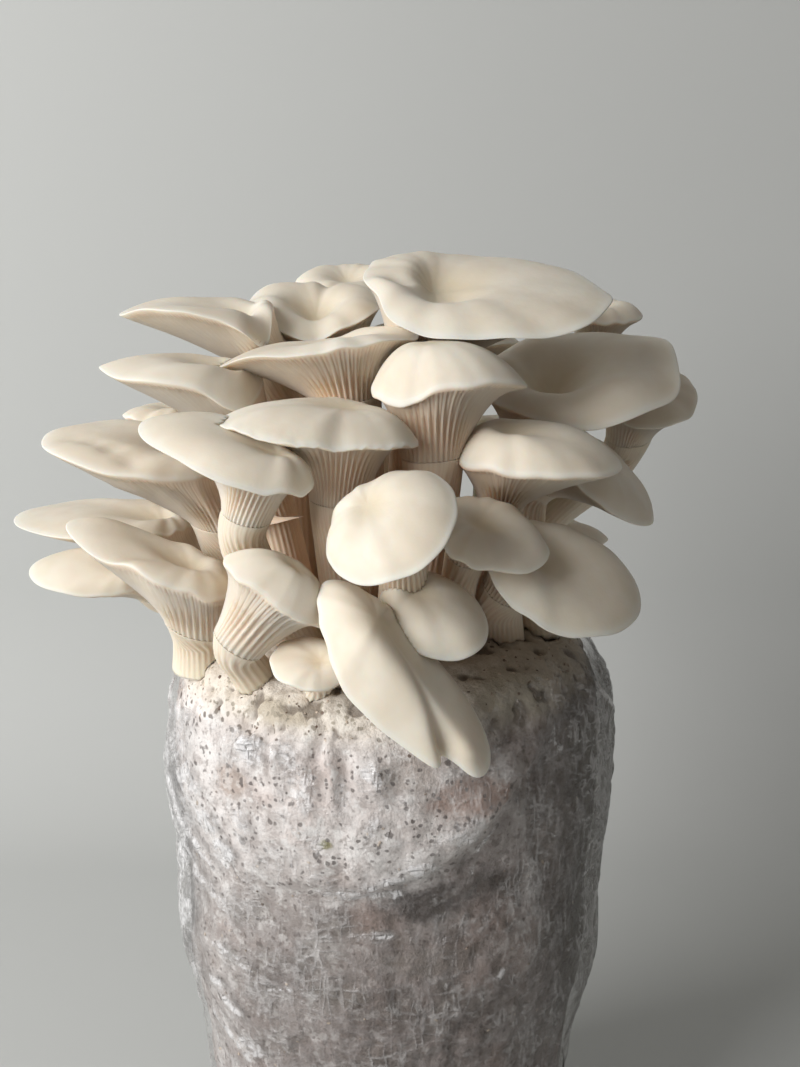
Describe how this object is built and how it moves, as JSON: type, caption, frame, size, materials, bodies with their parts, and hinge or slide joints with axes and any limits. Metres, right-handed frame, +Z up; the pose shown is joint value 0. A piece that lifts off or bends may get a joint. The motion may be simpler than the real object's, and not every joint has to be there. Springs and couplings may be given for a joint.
{
  "type": "oyster mushroom grow bag",
  "caption": "Clear film bag of mycelium-bound growing medium with a dense cluster of pale oyster mushrooms fruiting from its open top.",
  "frame": {"origin": "middle of the bag's flat base", "axes": "+Z up the bag, -Y towards the front of the cluster, +X to the front's right"},
  "size_m": [0.2192, 0.1872, 0.3284],
  "materials": {
    "cap": "smooth, soft, slightly translucent cream-white flesh with fine gills beneath",
    "stem": "matt cream-white flesh with raised ridges running down from the gills",
    "mycelium": "rough white mycelium over straw and sawdust, with dark brown specks",
    "film": "thin clear wrinkled film, glossy"
  },
  "bodies": {
    "root": {"bag": "film", "substrate": "mycelium", "stem_back_high": "stem", "stem_back_left": "stem", "stem_back_low": "stem", "stem_back_low_left": "stem", "stem_back_right": "stem", "stem_crown": "stem", "stem_crown_left": "stem", "stem_front_bud": "stem", "stem_front_high": "stem", "stem_front_left": "stem", "stem_front_round": "stem", "stem_front_tongue": "stem", "stem_left_front": "stem", "stem_left_high": "stem", "stem_left_low": "stem", "stem_left_lower": "stem", "stem_left_outer": "stem", "stem_left_upper": "stem", "stem_middle": "stem", "stem_middle_high": "stem", "stem_right_drop": "stem", "stem_right_high": "stem", "stem_right_inner": "stem", "stem_right_low": "stem", "stem_right_mid": "stem", "cap_back_high": "cap", "cap_back_left": "cap", "cap_back_low": "cap", "cap_back_low_left": "cap", "cap_back_low_right": "cap", "cap_back_mid": "cap", "cap_back_right": "cap", "cap_crown": "cap", "cap_crown_back": "cap", "cap_crown_left": "cap", "cap_crown_right": "cap", "cap_front_bud": "cap", "cap_front_high": "cap", "cap_front_left": "cap", "cap_front_round": "cap", "cap_front_small": "cap", "cap_front_tongue": "cap", "cap_left_back": "cap", "cap_left_front": "cap", "cap_left_high": "cap", "cap_left_low": "cap", "cap_left_lower": "cap", "cap_left_outer": "cap", "cap_left_tucked": "cap", "cap_left_upper": "cap", "cap_middle": "cap", "cap_middle_high": "cap", "cap_right_behind": "cap", "cap_right_drop": "cap", "cap_right_high": "cap", "cap_right_inner": "cap", "cap_right_low": "cap", "cap_right_mid": "cap"}
  },
  "joints": []
}
